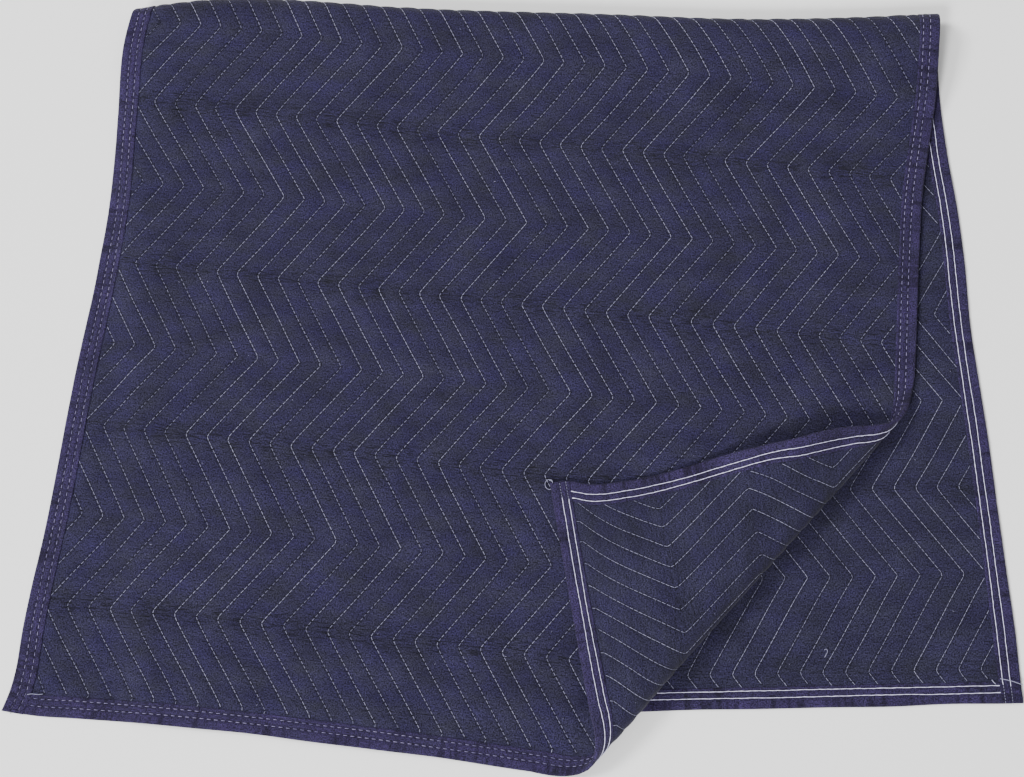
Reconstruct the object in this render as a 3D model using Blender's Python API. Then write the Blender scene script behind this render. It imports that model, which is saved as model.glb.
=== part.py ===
"""Quilted moving blanket, folded in half, with one corner of its upper layer turned back.

Metres, +Z up, front end towards -Y. The blanket lies on z = 0 and the origin is the middle
of its footprint. Every piece is modelled flat first, in sheet coordinates: u across the
blanket from its left edge, v along it from its front end, w out of its face side. surface()
lays the sheet out folded, and w is then measured along the sheet's own normal.
"""
from math import atan2, cos, hypot, pi, radians, sin

import bmesh
import bpy
import numpy as np

# Sheet, quilting and binding
PITCH = 0.0251            # from one zigzag stitch line to the next
WIDTH = 39.5 * PITCH
LENGTH = 1.830
FIRST_LINE = 0.0410       # a right turn of the first stitch line, from the left edge
FIRST_TURN = 0.1310       # the first left turn of every line, from the front end
HALF_WAVE = 0.1037        # along the sheet from one turn to the next
WAVE_SWING = 0.0711       # sideways from a left turn to a right turn
PUFF_HALF = 0.00255       # half thickness between stitch lines
STITCH_HALF = 0.00110     # half thickness along a stitch line
EDGE_HALF = 0.00075       # half thickness under the binding
BINDING_LEG = 0.0247
BINDING_CLOTH = 0.0010
BINDING_HALF = 0.0023     # half thickness over the binding
BINDING_ROUND = 0.0010    # how far the binding's edge is rounded
EDGE_INSET = 0.0014       # the panel's edge inside the binding
BAND = 0.0254             # width of the flat margin under the binding
BUTT_GAP = 0.0003         # between one binding's end and the next binding's leg

# Fold in half, over a line that slants across the sheet
FOLD_LEFT, FOLD_RIGHT = 0.8857, 0.9766      # v of the fold line at the two side edges
FOLD_HEADING = radians(-1.25)               # of the fold line, from +X
FOLD_START = (-0.47118, 0.45215)             # x and y of the fold line at the left edge
FOLD_RADIUS = 0.0188
FOLD_SLACK = 0.013                          # extra cloth in the lower half of the fold
FOLD_SETTLE = 0.130                         # the upper layer comes down over this length
FOLD_STEPS = 7                              # rows round the fold
LOW_Z = BINDING_HALF                        # middle of the sheet where it lies on the floor
HIGH_Z = 0.0096                             # middle of the upper layer on the lower one
DROP = 0.055                                # the upper layer's slope past the lower layer

# Corner turned back over a second line, from the front end to the right edge
CREASE_START = 0.595                        # u at the front end
CREASE_STOP = 0.510                         # v at the right edge
LOOP_FRONT, LOOP_SIDE = 0.0345, 0.0210      # loop size at the front end and the side edge
OUT_FRONT, OUT_SIDE = 1.25, 0.80            # how far the loop bulges, in loop sizes
LOOP_RISE = 0.6                             # half height of the loop, in loop sizes
LOOP_STEPS = 8
FLAP_REST = 0.0070                          # middle of the flap above the upper layer
FLAP_SETTLE = 0.120
FLAP_PUFF = 0.010                           # extra rise in the middle of the flap
PUFF_EDGE = 0.090
CURL_SIDE, CURL_FRONT = 0.005, 0.010        # how far the flap's two edges curl in
FLAP_EASE = 0.100
ARCH_RISE, ARCH_AT, ARCH_SPAN = 0.026, 0.326, 0.100
ARCH_REACH, ARCH_EASE = 0.200, 0.050

# How far the edges stray: place along the edge, distance to the right (or away, for a fold)
LEFT_STRAY = ((0.000, -0.0185), (0.022, -0.0125), (0.045, -0.0100), (0.100, -0.0100),
              (0.240, -0.0035), (0.415, 0.0010), (0.535, 0.0070), (0.615, 0.0085),
              (0.740, 0.0000), (0.810, -0.0015), (0.885, 0.0040), (1.000, -0.0040))
RIGHT_STRAY = ((0.000, 0.0110), (0.445, 0.0115), (0.555, 0.0080), (0.640, 0.0050),
               (0.730, 0.0030), (0.860, 0.0095), (0.930, 0.0055), (1.010, 0.0015),
               (1.080, -0.0025), (1.175, -0.0030), (1.255, 0.0010), (1.385, -0.0010),
               (1.530, 0.0025), (1.680, 0.0040), (1.830, 0.0040))
FOLD_STRAY = ((0.000, -0.0150), (0.060, -0.0040), (0.120, 0.0025), (0.215, 0.0015),
              (0.325, -0.0045), (0.590, -0.0085), (0.770, -0.0110), (0.890, -0.0060),
              (1.000, 0.0020))
LEFT_STRAY_REACH, RIGHT_STRAY_REACH = 0.6 * WIDTH, 0.5 * WIDTH
FOLD_STRAY_REACH = 0.050
FRONT_STRAY = ((0.000, -0.0030), (0.030, -0.0045), (0.080, -0.0020), (0.180, 0.0020),
               (0.400, 0.0025), (0.530, 0.0000), (0.620, -0.0030), (0.670, -0.0040),
               (0.710, -0.0060), (0.745, -0.0035), (0.800, 0.0000))
FRONT_STRAY_REACH = 0.250
FLAP_STRAY = ((0.000, 0.0040), (0.020, 0.0030), (0.050, -0.0048), (0.105, -0.0077),
              (0.165, -0.0044), (0.215, 0.0002), (0.265, 0.0033), (0.300, 0.0030),
              (0.335, 0.0062), (0.370, 0.0078), (0.400, 0.0048), (0.430, 0.0000))
FLAP_STRAY_REACH = 0.200
ROW_STRAY = ((0, 0), (0.131, -0.0030), (0.235, -0.0005), (0.338, 0.0024), (0.442, 0.0002),
             (0.546, -0.0022), (0.649, -0.0030), (0.753, -0.0030), (0.850, -0.0030),
             (0.960, 0), (LENGTH, 0))               # of the rows of turns, along the sheet
ROW_STOP, ROW_EASE = 0.750, 0.350           # and how far across it the rows stray
TOP_DROP, TOP_REACH = 0.0075, 0.500         # the last row before the fold is lower
TOP_START, TOP_STOP, TOP_EASE = 0.760, 0.960, 0.090
BACK_SPREAD = 0.034                         # stitch lines further apart at the back end
SPREAD_START, SPREAD_EASE = 1.420, 0.300
BACK_SKEW, BACK_SKEW_U = 0.05, 0.740        # the lower layer's rows run askew
SKEW_START, SKEW_EASE = 1.09, 0.50
BACK_LAG = 0.007                            # the lower layer's rows lie nearer the fold
LAG_START, LAG_STOP, LAG_EASE = 1.04, 1.80, 0.11

# Where the mesh bends: shares of a settling length, and distances past the lower layer.
# The margin has more of them, as its binding lies close round it.
FLAP_SHARES, MARGIN_FLAP_SHARES = (0.5,), (0.12, 0.25, 0.37, 0.5, 0.75, 1.0)
FOOT_SHARES, MARGIN_FOOT_SHARES = (0.35,), (0.2, 0.35, 0.5, 0.7, 1.0)
SIDE_SLOPE, MARGIN_SIDE_SLOPE = (0.005, DROP), (0.005, 0.030, DROP)
END_SLOPE, MARGIN_END_SLOPE = (0.005,), (0.005, 0.020, 0.035)
ROWS_BEFORE_FOLD = 8                        # turns of the zigzag up to the fold
ROWS_IN_FOLD = 1
TOP_ROW_SLANT = 0.005                       # the last row before the fold leans towards it

# Creases across the upper layer: v, middle u, half length, rise, half width
CREASES = ((0.753, 0.210, 0.230, 0.0022, 0.040),
           (0.753, 0.840, 0.190, 0.0026, 0.045),
           (0.546, 0.560, 0.300, 0.0016, 0.045),
           (0.338, 0.300, 0.260, 0.0022, 0.045),
           (0.235, 0.150, 0.160, 0.0014, 0.040))

# Colours
PANEL_COLOUR = (0.038, 0.041, 0.084)
BINDING_COLOUR = (0.045, 0.040, 0.091)

# Worked out
SLANT = atan2(FOLD_RIGHT - FOLD_LEFT, WIDTH)
QUARTER = pi * FOLD_RADIUS / 2
CREASE_RUN = hypot(WIDTH - CREASE_START, CREASE_STOP)
CREASE_U = (WIDTH - CREASE_START) / CREASE_RUN
CREASE_V = CREASE_STOP / CREASE_RUN
FIRST_COLUMN = -2                           # half pitches from the first stitch line
LAST_COLUMN = int(2 * (WIDTH + WAVE_SWING - FIRST_LINE - BAND) / PITCH) + 2


def smooth(x):
    """0 to 1 as x goes from 0 to 1, level at both ends."""
    x = np.clip(x, 0.0, 1.0)
    return x * x * (3.0 - 2.0 * x)


def curve(x, table):
    """A smooth curve through the table's (place, value) rows."""
    knots, values = np.array(table).T
    slopes = np.gradient(values, knots)
    i = np.clip(np.searchsorted(knots, x) - 1, 0, len(knots) - 2)
    gap = knots[i + 1] - knots[i]
    s = np.clip((x - knots[i]) / gap, 0.0, 1.0)
    bend = gap * s * (1.0 - s) * ((1.0 - s) * slopes[i] - s * slopes[i + 1])
    return values[i] + (values[i + 1] - values[i]) * smooth(s) + bend


def stray(u, v):
    """Sheet coordinates with the edges' waviness and the lower layer's skew added."""
    left = smooth(1.0 - u / LEFT_STRAY_REACH)
    right = smooth((u - WIDTH) / RIGHT_STRAY_REACH + 1.0)
    across = curve(v, LEFT_STRAY) * left + curve(v, RIGHT_STRAY) * right
    lag = smooth((v - LAG_START) / LAG_EASE) * smooth((LAG_STOP - v) / LAG_EASE)
    skew = BACK_SKEW * (u - BACK_SKEW_U) * smooth((v - SKEW_START) / SKEW_EASE)
    along = skew - BACK_LAG * lag
    along = along + curve(u, FRONT_STRAY) * smooth(1.0 - v / FRONT_STRAY_REACH)
    along = along + curve(v, ROW_STRAY) * smooth((ROW_STOP - u) / ROW_EASE)
    top = smooth((v - TOP_START) / TOP_EASE) * smooth((TOP_STOP - v) / TOP_EASE)
    along = along - TOP_DROP * top * smooth((ROW_STOP - u) / TOP_REACH)
    spread = BACK_SPREAD * (u - WIDTH) * smooth(2.0 * u / WIDTH)
    across = across + spread * smooth((v - SPREAD_START) / SPREAD_EASE)
    return u + across, v + along


def creases(u, v):
    """Rise of the soft creases that run across the upper layer."""
    rise = 0.0
    for at_v, at_u, half_length, height, half_width in CREASES:
        reach = ((u - at_u) / half_length) ** 2 + ((v - at_v) / half_width) ** 2
        rise = rise + height * np.exp(-reach)
    return rise


def fold_in_half(u, v):
    """Place of a sheet point once the sheet is folded, its corner still flat.

    s runs along the fold line and t across it. Up to a quarter turn either side of the
    line the sheet follows a half circle, and past that it lies flat. The upper layer
    stands on the lower one, and slopes to the floor where it reaches past it.
    """
    rise = creases(u, v)
    u, v = stray(u, v)
    s = u * cos(SLANT) + (v - FOLD_LEFT) * sin(SLANT)
    t = (v - FOLD_LEFT) * cos(SLANT) - u * sin(SLANT)
    slack = QUARTER / (QUARTER + FOLD_SLACK)
    t = np.where(t > 0, np.maximum(t - FOLD_SLACK, np.minimum(t * slack, QUARTER)), t)
    in_fold = np.abs(t) < QUARTER
    turn = np.clip(t / FOLD_RADIUS, -pi / 2, pi / 2)
    y = np.where(in_fold, FOLD_RADIUS * np.cos(turn), QUARTER - np.abs(t))
    reach = QUARTER + FOLD_SLACK - y
    under_u = s * cos(SLANT) - reach * sin(SLANT)
    under_v = FOLD_LEFT + s * sin(SLANT) + reach * cos(SLANT)
    over_side = smooth((under_u + DROP) / (DROP - 0.005))
    over_end = smooth((LENGTH - under_v + DROP) / (DROP - 0.005))
    flat = LOW_Z + (HIGH_Z - LOW_Z) * over_side * over_end + rise
    crest = LOW_Z + 2 * FOLD_RADIUS
    upper = crest - (crest - flat) * smooth((-t - QUARTER) / FOLD_SETTLE)
    layers = np.where(t < 0, upper, LOW_Z)
    z = np.where(in_fold, LOW_Z + FOLD_RADIUS * (1.0 - np.sin(turn)), layers)
    y = y + curve(s, FOLD_STRAY) * np.exp(-((t / FOLD_STRAY_REACH) ** 2))
    x = FOLD_START[0] + s * cos(FOLD_HEADING) - y * sin(FOLD_HEADING)
    y = FOLD_START[1] + s * sin(FOLD_HEADING) + y * cos(FOLD_HEADING)
    return np.stack([x, y, z], -1)


def across_crease(u, v):
    """Distance along the crease from the front end, and past it towards the corner."""
    along = (u - CREASE_START) * CREASE_U + v * CREASE_V
    past = (u - CREASE_START) * CREASE_V - v * CREASE_U
    return along, past


def turn_back(u, v):
    """Sheet coordinates under each point once the corner is turned back, and its rise.

    Past the crease the sheet follows half an oval loop that narrows towards the side
    edge, and comes back over the upper layer. The flap's middle is a little puffed, its
    edges curl in and its side edge arches.
    """
    flap = smooth(across_crease(u, v)[1] / FLAP_EASE)
    side = smooth((u - WIDTH) / PUFF_EDGE + 1.0)
    front = smooth(1.0 - v / PUFF_EDGE)
    bow = curve(v, FLAP_STRAY) * smooth((u - WIDTH) / FLAP_STRAY_REACH + 1.0)
    along, past = across_crease(u + flap * (bow - CURL_SIDE * side),
                                v + flap * CURL_FRONT * front)
    share = np.clip(along / CREASE_RUN, -0.1, 1.1)
    loop = LOOP_FRONT + (LOOP_SIDE - LOOP_FRONT) * share
    bulge = loop * (OUT_FRONT + (OUT_SIDE - OUT_FRONT) * share)
    high = loop * LOOP_RISE
    turn = np.clip(past / loop, 0.0, pi)
    back = past - pi * loop
    lean = np.where(past < 0, past, np.where(back < 0, bulge * np.sin(turn), -back))
    puff = FLAP_PUFF * smooth(back / FLAP_EASE) * (1.0 - side) * (1.0 - front)
    arch = ARCH_RISE * np.exp(-(((v - ARCH_AT) / ARCH_SPAN) ** 2))
    arch = arch * smooth(1.0 - (WIDTH - u) / ARCH_REACH) * smooth(back / ARCH_EASE)
    settled = 2 * high - (2 * high - FLAP_REST) * smooth(back / FLAP_SETTLE)
    looped = np.where(back < 0, high * (1.0 - np.cos(turn)), settled + puff + arch)
    rise = np.where(past < 0, 0.0, looped)
    under_u = CREASE_START + along * CREASE_U + lean * CREASE_V
    return under_u, along * CREASE_V - lean * CREASE_U, rise


def surface(u, v):
    """Place of the middle of the sheet."""
    under_u, under_v, rise = turn_back(u, v)
    place = fold_in_half(under_u, under_v)
    place[..., 2] += rise
    return place


def lay_out(flat):
    """Places of flat points (u, v, w): w along the sheet's normal from its middle."""
    u, v, w = np.asarray(flat, float).T
    step = 1e-4
    across = surface(u + step, v) - surface(u - step, v)
    along = surface(u, v + step) - surface(u, v - step)
    normal = np.cross(across, along)
    normal /= np.linalg.norm(normal, axis=1, keepdims=True)
    return surface(u, v) + w[:, None] * normal


def lay_between(flat, knots, axis):
    """As lay_out, but straight from one knot to the next along the given axis."""
    t = flat[:, axis]
    i = np.clip(np.searchsorted(knots, t, side="right") - 1, 0, len(knots) - 2)
    before = flat.copy()
    after = flat.copy()
    before[:, axis] = knots[i]
    after[:, axis] = knots[i + 1]
    share = ((t - knots[i]) / (knots[i + 1] - knots[i]))[:, None]
    return (1.0 - share) * lay_out(before) + share * lay_out(after)


def cross_rows():
    """Each row across the sheet as its v at the left edge and at the right edge."""
    turns = np.arange(FIRST_TURN, LENGTH - BAND, HALF_WAVE)
    rolls = np.linspace(-QUARTER, QUARTER + FOLD_SLACK, FOLD_STEPS + 1) / cos(SLANT)
    last = turns[ROWS_BEFORE_FOLD - 1]
    rows = [(BAND, BAND)]
    rows += [(v, v) for v in turns[:ROWS_BEFORE_FOLD - 1]]
    rows += [(last - TOP_ROW_SLANT, last)]
    rows += [(FOLD_LEFT + roll, FOLD_RIGHT + roll) for roll in rolls]
    rows += [(v, v) for v in turns[ROWS_BEFORE_FOLD + ROWS_IN_FOLD:]]
    rows += [(LENGTH - BAND, LENGTH - BAND)]
    return np.array(rows)


def row_v(row, u):
    """Where a row stands at u."""
    return row[0] + (row[1] - row[0]) * u / WIDTH


def column_u(index, row):
    """Where a column meets a row: even ones are stitch lines, odd ones channels."""
    start = u = FIRST_LINE + index * PITCH / 2
    for _ in range(4):
        wave = ((row_v(row, u) - FIRST_TURN) / HALF_WAVE) % 2.0
        u = start - WAVE_SWING * abs(wave - 1.0)
    return u


def end_stations(v):
    """Places along an end binding: its corners, and every second stitch line between."""
    lines = [column_u(index, (v, v)) for index in range(0, LAST_COLUMN, 4)]
    inside = [u for u in lines if BAND + 0.01 < u < WIDTH - BAND - 0.01]
    return [BAND, *inside, WIDTH - BAND]


def bend_lines(margin=False):
    """The straight lines that the sheet's bends follow, each as two (u, v) points.

    Across the turned corner they run along the loop and then down the flap. The others
    run down the foot of the fold, and along the slopes where the upper layer reaches past
    the lower one.
    """
    bends = [(pi * step / LOOP_STEPS, 0.0) for step in range(LOOP_STEPS + 1)]
    bends += [(pi, share * FLAP_SETTLE)
              for share in (MARGIN_FLAP_SHARES if margin else FLAP_SHARES)]
    lines = []
    for turn, extra in bends:
        ends = []
        for along, loop in ((0.0, LOOP_FRONT), (CREASE_RUN, LOOP_SIDE)):
            past = turn * loop + extra
            ends.append((CREASE_START + along * CREASE_U + past * CREASE_V,
                         along * CREASE_V - past * CREASE_U))
        lines.append(ends)
    for share in MARGIN_FOOT_SHARES if margin else FOOT_SHARES:
        foot = (QUARTER + share * FOLD_SETTLE) / cos(SLANT)
        lines.append([(0.0, FOLD_LEFT - foot), (WIDTH, FOLD_RIGHT - foot)])
    for past in MARGIN_SIDE_SLOPE if margin else SIDE_SLOPE:
        side = FOLD_SLACK * sin(SLANT) - past
        lines.append([((side - (v - FOLD_LEFT) * sin(2 * SLANT)) / cos(2 * SLANT), v)
                      for v in (FOLD_LEFT, 0.0)])
    for past in MARGIN_END_SLOPE if margin else END_SLOPE:
        end = FOLD_LEFT + FOLD_SLACK * cos(SLANT) - LENGTH - past
        lines.append([(u, FOLD_LEFT + (end + u * sin(2 * SLANT)) / cos(2 * SLANT))
                      for u in (0.0, WIDTH)])
    if margin:
        halves = FIRST_TURN + HALF_WAVE * (np.arange(ROWS_BEFORE_FOLD - 1) - 0.5)
        lines += [[(0.0, v), (WIDTH, v)] for v in halves]
    return lines


def crossings(axis, at):
    """Where the margin's bend lines cross a line that runs along the axis."""
    found = []
    for start, stop in bend_lines(margin=True):
        if start[1 - axis] != stop[1 - axis]:
            share = (at - start[1 - axis]) / (stop[1 - axis] - start[1 - axis])
            found.append(start[axis] + share * (stop[axis] - start[axis]))
    return found


def cut(sheet, faces, start, stop, clear=False):
    """Cuts faces of a flat mesh along a line in u and v, and can clear its right side."""
    edges = {edge for face in faces for edge in face.edges}
    verts = {vert for face in faces for vert in face.verts}
    bmesh.ops.bisect_plane(
        sheet, geom=[*verts, *edges, *faces], dist=1e-6,
        plane_co=(start[0], start[1], 0.0),
        plane_no=(stop[1] - start[1], start[0] - stop[0], 0.0), clear_outer=clear)


def quilting():
    """The quilted middle of the panel as a flat mesh whose z is its half thickness.

    Columns follow the stitch lines and the channels between them, and rows pass through
    the turns of the zigzag and along the fold.
    """
    sheet = bmesh.new()
    grid = []
    for row in cross_rows():
        line = []
        for index in range(FIRST_COLUMN, LAST_COLUMN):
            u = column_u(index, row)
            half = STITCH_HALF if index % 2 == 0 else PUFF_HALF
            line.append(sheet.verts.new((u, row_v(row, u), half)))
        grid.append(line)
    for below, above in zip(grid, grid[1:]):
        for i in range(len(below) - 1):
            sheet.faces.new((below[i], below[i + 1], above[i + 1], above[i]))
    cut(sheet, sheet.faces[:], (BAND, LENGTH), (BAND, 0.0), clear=True)
    far = WIDTH - BAND
    cut(sheet, sheet.faces[:], (far, 0.0), (far, LENGTH), clear=True)
    for vert in sheet.verts:
        if vert.is_boundary:
            vert.co.z = EDGE_HALF
    return sheet


def add_margin(sheet):
    """Adds the flat margin that lies in the binding, in one face between two stations."""
    edge = [vert.co.copy() for vert in sheet.verts if vert.is_boundary]
    far_u, far_v = WIDTH - EDGE_INSET, LENGTH - EDGE_INSET
    rows = cross_rows()
    outlines = []
    for inner, outer in ((BAND, EDGE_INSET), (WIDTH - BAND, far_u)):
        side = sorted(place.y for place in edge if abs(place.x - inner) < 1e-5)
        for below, above in zip(rows, rows[1:]):
            low, high = row_v(below, inner), row_v(above, inner)
            between = [v for v in side if low + 1e-5 < v < high - 1e-5]
            outlines.append([(outer, row_v(below, outer)), (inner, low)]
                            + [(inner, v) for v in between]
                            + [(inner, high), (outer, row_v(above, outer))])
    for inner, outer in ((BAND, EDGE_INSET), (LENGTH - BAND, far_v)):
        side = sorted(place.x for place in edge if abs(place.y - inner) < 1e-5)
        stations = end_stations(inner)
        for low, high in zip(stations, stations[1:]):
            between = [u for u in side if low + 1e-5 < u < high - 1e-5]
            outlines.append([(low, outer), (low, inner)] + [(u, inner) for u in between]
                            + [(high, inner), (high, outer)])
    for near, edge_u in ((BAND, EDGE_INSET), (WIDTH - BAND, far_u)):
        for end, edge_v in ((BAND, EDGE_INSET), (LENGTH - BAND, far_v)):
            outlines.append([(edge_u, edge_v), (near, edge_v), (near, end), (edge_u, end)])
    for outline in outlines:
        sheet.faces.new([sheet.verts.new((u, v, EDGE_HALF)) for u, v in outline])
    bmesh.ops.remove_doubles(sheet, verts=sheet.verts[:], dist=1e-5)


def lay_out_panel(flat):
    """As lay_out, but straight along the margin's inner lines, as the binding runs."""
    places = lay_out(flat)
    rows = cross_rows()
    for axis, far in ((1, WIDTH), (0, LENGTH)):
        end = (WIDTH, LENGTH)[axis] - BAND
        for at in (BAND, far - BAND):
            stops = row_v(rows.T, at) if axis == 1 else end_stations(at)
            bends = [place for place in crossings(axis, at) if BAND < place < end]
            knots = np.unique(np.concatenate([stops, bends]))
            line = np.abs(flat[:, 1 - axis] - at) < 1e-5
            line &= (flat[:, axis] > BAND - 1e-5) & (flat[:, axis] < end + 1e-5)
            places[line] = lay_between(flat[line], knots, axis)
    return places


def make_panel():
    sheet = quilting()
    add_margin(sheet)
    for line in bend_lines():
        cut(sheet, sheet.faces[:], *line)
    for line in bend_lines(margin=True):
        margin = [face for face in sheet.faces
                  if all(abs(vert.co.z - EDGE_HALF) < 1e-6 for vert in face.verts)]
        cut(sheet, margin, *line)
    bmesh.ops.triangulate(sheet, faces=sheet.faces[:])
    sheet.verts.index_update()
    sheet.normal_update()
    top = np.array([vert.co for vert in sheet.verts])
    faces = []
    for face in sheet.faces:
        corners = [vert.index for vert in face.verts]
        faces.append(corners if face.normal.z > 0 else corners[::-1])
    bottom_of = len(top)
    faces += [[corner + bottom_of for corner in reversed(face)] for face in faces]
    for side in sheet.edges:
        if side.is_boundary:
            a, b = (vert.index for vert in side.verts)
            faces.append([a, b, b + bottom_of, a + bottom_of])
    sheet.free()
    places = lay_out_panel(np.concatenate([top, top * (1.0, 1.0, -1.0)]))
    return finish("quilted_panel", places, faces, PANEL_COLOUR, 0.92)


def make_binding(name, axis, edge, inward, stations):
    """A strip of cloth folded over one edge, closed where the stations start.

    axis is the one it runs along. Each station is its place along that axis at the
    strip's outer edge and at its inner edge. The first one is the closed end, and the
    pocket for the panel starts one cloth thickness further in.
    """
    inside = BINDING_HALF - BINDING_CLOTH
    outer = [(BINDING_LEG, BINDING_HALF), (BINDING_ROUND, BINDING_HALF),
             (0.0, BINDING_HALF - BINDING_ROUND), (0.0, BINDING_ROUND - BINDING_HALF),
             (BINDING_ROUND, -BINDING_HALF), (BINDING_LEG, -BINDING_HALF)]
    inner = [(BINDING_LEG, -inside), (BINDING_CLOTH, -inside),
             (BINDING_CLOTH, inside), (BINDING_LEG, inside)]
    heading = 1.0 if stations[1][0] > stations[0][0] else -1.0
    pocket = stations[0][0] + heading * BINDING_CLOTH
    strip = bmesh.new()
    rings = []
    for at_edge, at_leg in [stations[0], (pocket, pocket), *stations[1:]]:
        ring = []
        for depth, w in outer + inner if rings else outer:
            along = at_edge + (at_leg - at_edge) * depth / BINDING_LEG
            across = edge + inward * depth
            place = (across, along, w) if axis == 1 else (along, across, w)
            ring.append(strip.verts.new(place))
        rings.append(ring)
    start, first, end = rings[0], rings[1], rings[-1]
    strip.faces.new(start)
    for i in range(5):
        strip.faces.new((start[i], start[i + 1], first[i + 1], first[i]))
    strip.faces.new((start[5], start[0], first[0], first[9], first[6], first[5]))
    strip.faces.new(first[6:])
    for before, after in zip(rings[1:], rings[2:]):
        for i in range(10):
            strip.faces.new((before[i - 1], before[i], after[i], after[i - 1]))
    for corners in ((0, 1, 8, 9), (1, 2, 3, 4, 7, 8), (4, 5, 6, 7)):
        strip.faces.new([end[corner] for corner in corners])
    for line in bend_lines(margin=True):
        cut(strip, strip.faces[:], *line)
    strip.verts.index_update()
    flat = np.array([vert.co for vert in strip.verts])
    faces = [[vert.index for vert in face.verts] for face in strip.faces]
    strip.free()
    return finish(name, lay_out(flat), faces, BINDING_COLOUR, 0.88)


def finish(name, places, faces, colour, roughness):
    """Makes the object, with its normals facing out and its own material."""
    places[:, 2] = np.maximum(places[:, 2], 0.0)
    mesh = bpy.data.meshes.new(name)
    mesh.from_pydata(places.tolist(), [], faces)
    piece = bmesh.new()
    piece.from_mesh(mesh)
    bmesh.ops.triangulate(piece, faces=piece.faces[:])
    bmesh.ops.recalc_face_normals(piece, faces=piece.faces[:])
    piece.to_mesh(mesh)
    piece.free()
    mesh.shade_smooth()
    mesh.set_sharp_from_angle(angle=radians(40))
    material = bpy.data.materials.new(name + "_cloth")
    material.use_nodes = True
    shader = material.node_tree.nodes["Principled BSDF"]
    shader.inputs["Base Color"].default_value = (*colour, 1.0)
    shader.inputs["Roughness"].default_value = roughness
    shader.inputs["Metallic"].default_value = 0.0
    mesh.materials.append(material)
    made = bpy.data.objects.new(name, mesh)
    bpy.context.scene.collection.objects.link(made)
    return made


def main():
    for item in list(bpy.data.objects):
        bpy.data.objects.remove(item, do_unlink=True)
    make_panel()

    rows = cross_rows()
    under = BINDING_LEG + BUTT_GAP
    left = [(0.0, 0.0)] + [(row[0], row_v(row, BINDING_LEG)) for row in rows[:-1]]
    left.append((LENGTH - under, LENGTH - under))
    right = [(under, under)]
    right += [(row[1], row_v(row, WIDTH - BINDING_LEG)) for row in rows[1:]]
    right.append((LENGTH, LENGTH))
    front = [under, *end_stations(BAND)[1:], WIDTH]
    back = [0.0, *end_stations(LENGTH - BAND)[:-1], WIDTH - under]
    make_binding("binding_left", 1, 0.0, 1.0, left)
    make_binding("binding_right", 1, WIDTH, -1.0, right[::-1])
    make_binding("binding_front_end", 0, 0.0, 1.0, [(u, u) for u in front[::-1]])
    make_binding("binding_back_end", 0, LENGTH, -1.0, [(u, u) for u in back])


main()
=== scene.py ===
"""Looks of a quilted moving blanket, folded in half, with one corner turned back.

Metres, +Z up. Every piece is worked out flat first, in sheet coordinates: u across the
blanket from its left edge, v along it from its front end, w out of its face side. lay_out()
places flat points on the folded blanket.
"""
from math import atan2, cos, hypot, pi, radians, sin

import bpy
import numpy as np
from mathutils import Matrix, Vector


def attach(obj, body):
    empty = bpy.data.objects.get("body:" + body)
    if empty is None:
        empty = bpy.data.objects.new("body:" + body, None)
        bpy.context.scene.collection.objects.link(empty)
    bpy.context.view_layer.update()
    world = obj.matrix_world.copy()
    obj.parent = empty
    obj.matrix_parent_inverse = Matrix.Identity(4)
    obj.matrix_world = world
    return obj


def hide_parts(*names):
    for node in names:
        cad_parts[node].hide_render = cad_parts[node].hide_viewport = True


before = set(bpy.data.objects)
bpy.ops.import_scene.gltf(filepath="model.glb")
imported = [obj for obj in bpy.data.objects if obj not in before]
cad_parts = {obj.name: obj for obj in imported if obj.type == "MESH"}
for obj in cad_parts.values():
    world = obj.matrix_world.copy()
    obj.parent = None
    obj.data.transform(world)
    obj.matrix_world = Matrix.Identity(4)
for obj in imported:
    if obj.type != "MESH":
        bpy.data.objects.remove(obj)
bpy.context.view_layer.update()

# Sheet, quilting and binding
PITCH = 0.0251            # from one zigzag stitch line to the next
WIDTH = 39.5 * PITCH
LENGTH = 1.830
FIRST_LINE = 0.0410       # a right turn of the first stitch line, from the left edge
FIRST_TURN = 0.1310       # the first left turn of every line, from the front end
HALF_WAVE = 0.1037        # along the sheet from one turn to the next
WAVE_SWING = 0.0711       # sideways from a left turn to a right turn
PUFF_HALF = 0.00255       # half thickness between stitch lines
STITCH_HALF = 0.00115     # half thickness along a stitch line
EDGE_HALF = 0.00080       # half thickness under the binding
EDGE_INSET = 0.0020       # from the binding's fold to the quilt's own edge
LINE_NUMBERS = np.arange(-2.0, 42.0)    # the stitch lines that reach the sheet
BINDING_LEG = 0.0250      # from the binding's fold to its raw edges
BINDING_HALF = 0.0023     # half thickness over both of its legs
BINDING_NOSE = 0.0026     # depth of its round fold
LAP = BINDING_LEG - 0.004               # from a corner to the end of the binding beneath
SEAM_GAP = 0.0082         # between the two seams through a binding
SEAM_DRAW = 0.00075       # how far a seam draws the binding in on each side
SEAM_BELL = 0.0016        # half width of that hollow
GROOVE_BELL = 0.0018      # half width of the shade along a stitch line

# Thread: radius, and for the quilting also a stitch's length as a share of its step
STITCH_STEP = 0.0058      # from one quilting stitch to the next along a line
FACE_STITCH, REVERSE_STITCH = (0.86, 0.00037), (1.00, 0.00035)
TIP_SINK = 0.0009         # how far under its base a stitch's tips go
DASH_RADIUS, DASH_STEP = 0.00040, 0.008     # seams on the face side of a binding
LAP_RADIUS, LAP_STEP = 0.00032, 0.0034      # plain stitches where a binding laps over
CORD_LOOP = 0.008         # one loop of the heavier cords on the reverse
CORD_START, CORD_LATER = 0.0185, 0.002      # past a binding's own end, the second one later
CORD_RADIUS, CORD_TWIST, CORD_LUMP = 0.00028, 0.00013, 0.00035  # the last two are added
SEAM_CLEAR = 0.004        # from a binding's own end to its first dash

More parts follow.
